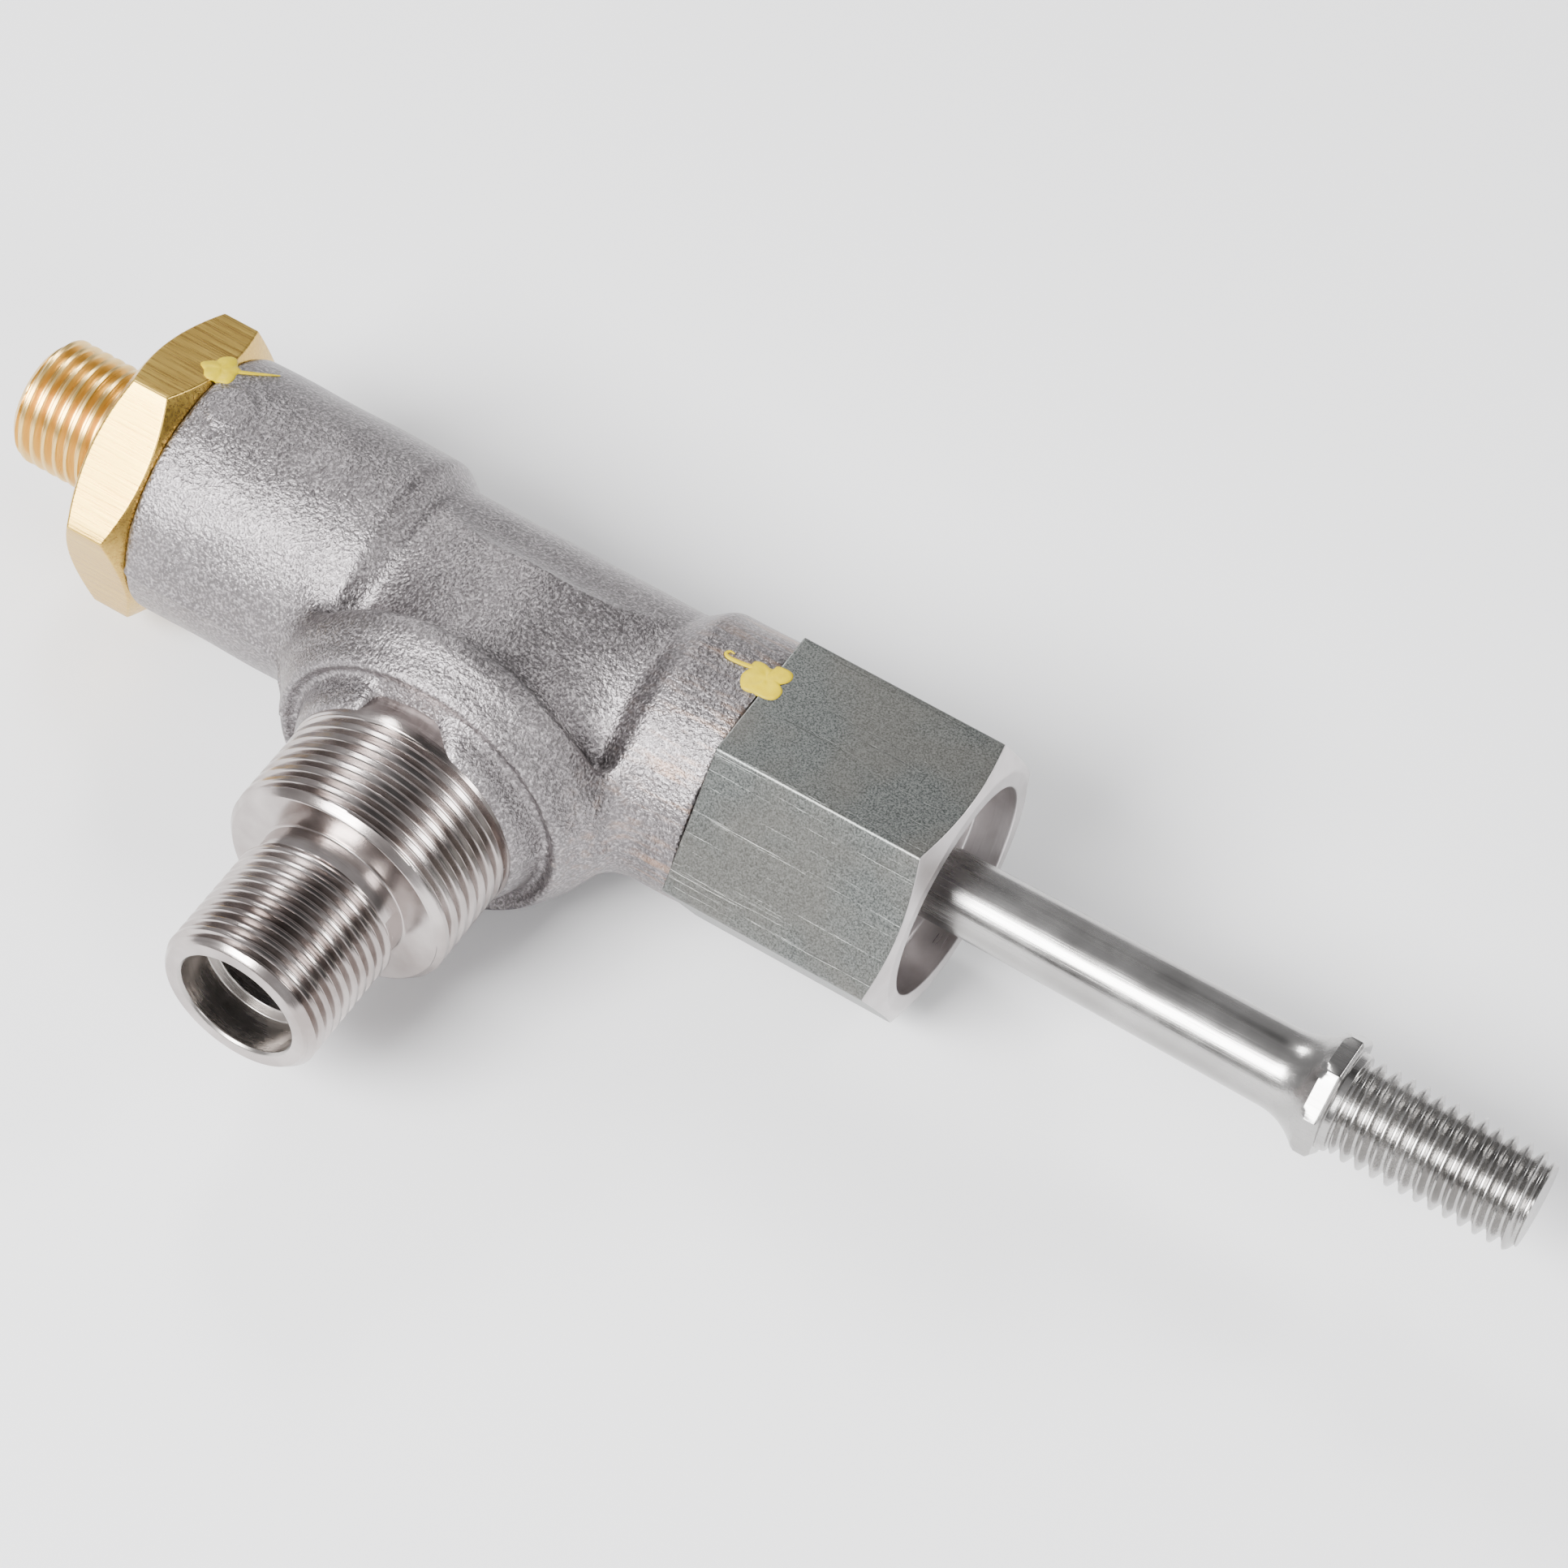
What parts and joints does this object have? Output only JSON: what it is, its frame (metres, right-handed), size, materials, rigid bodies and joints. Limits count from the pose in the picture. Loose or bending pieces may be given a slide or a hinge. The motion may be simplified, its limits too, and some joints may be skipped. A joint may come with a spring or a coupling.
{
  "type": "pressure relief valve",
  "caption": "Pull-rod relief valve: cast tee body, threaded side port, brass bypass fitting, hexagonal gland nut and a sliding threaded spindle.",
  "frame": {"origin": "centre of the flat end face of the spindle's threaded end, valve closed", "axes": "+X along the spindle, out of its threaded end; -Y along the side port, out of its mouth; +Z square to the casting's parting plane. The port axis meets the main axis at x = -0.1085 m"},
  "size_m": [0.1649, 0.064, 0.035],
  "materials": {
    "cast_steel": "shot-blasted satin casting with bright machined threads",
    "zinc_plate": "matt zinc plate, fine speckle and drawn-bar scratches",
    "brass": "turned and milled brass, bright facets",
    "steel": "polished stainless steel",
    "bronze": "bearing bronze, fine turned",
    "rubber": "moulded nitrile, matt",
    "ptfe": "filled PTFE, satin",
    "lacquer": "brushed-on yellow tamper lacquer"
  },
  "bodies": {
    "housing": {"valve_body": "cast_steel", "gland_nut": "zinc_plate", "bypass_fitting": "brass", "fitting_o_ring": "rubber", "valve_seat": "steel", "seat_o_ring": "rubber", "seat_spacer": "steel", "closing_spring": "steel", "inner_guide_bush": "bronze", "inner_backup_ring": "ptfe", "spindle_o_ring": "rubber", "outer_backup_ring": "ptfe", "lip_seal": "ptfe", "gland_bush": "bronze", "wiper_ring": "rubber", "gland_o_ring": "rubber", "sealing_paint_rear": "lacquer", "sealing_paint_front": "lacquer"},
    "spring_follower": {"spring_cap": "steel"},
    "spindle_set": {"spindle": "steel", "valve_head": "steel", "head_seal": "ptfe", "seal_clamp_washer": "steel", "head_lock_nut": "steel"}
  },
  "joints": [
    {"name": "valve_lift", "type": "slide", "parent": "housing", "child": "spring_follower", "axis": [-1, 0, 0], "range_m": [0, 0.004], "stiffness_N_per_m": 600, "springref_m": -0.004, "deforming": ["closing_spring"]},
    {"name": "spindle_turn", "type": "hinge", "parent": "spring_follower", "child": "spindle_set", "pos_m": [-0.1085, 0, 0], "axis": [1, 0, 0], "continuous": true}
  ]
}
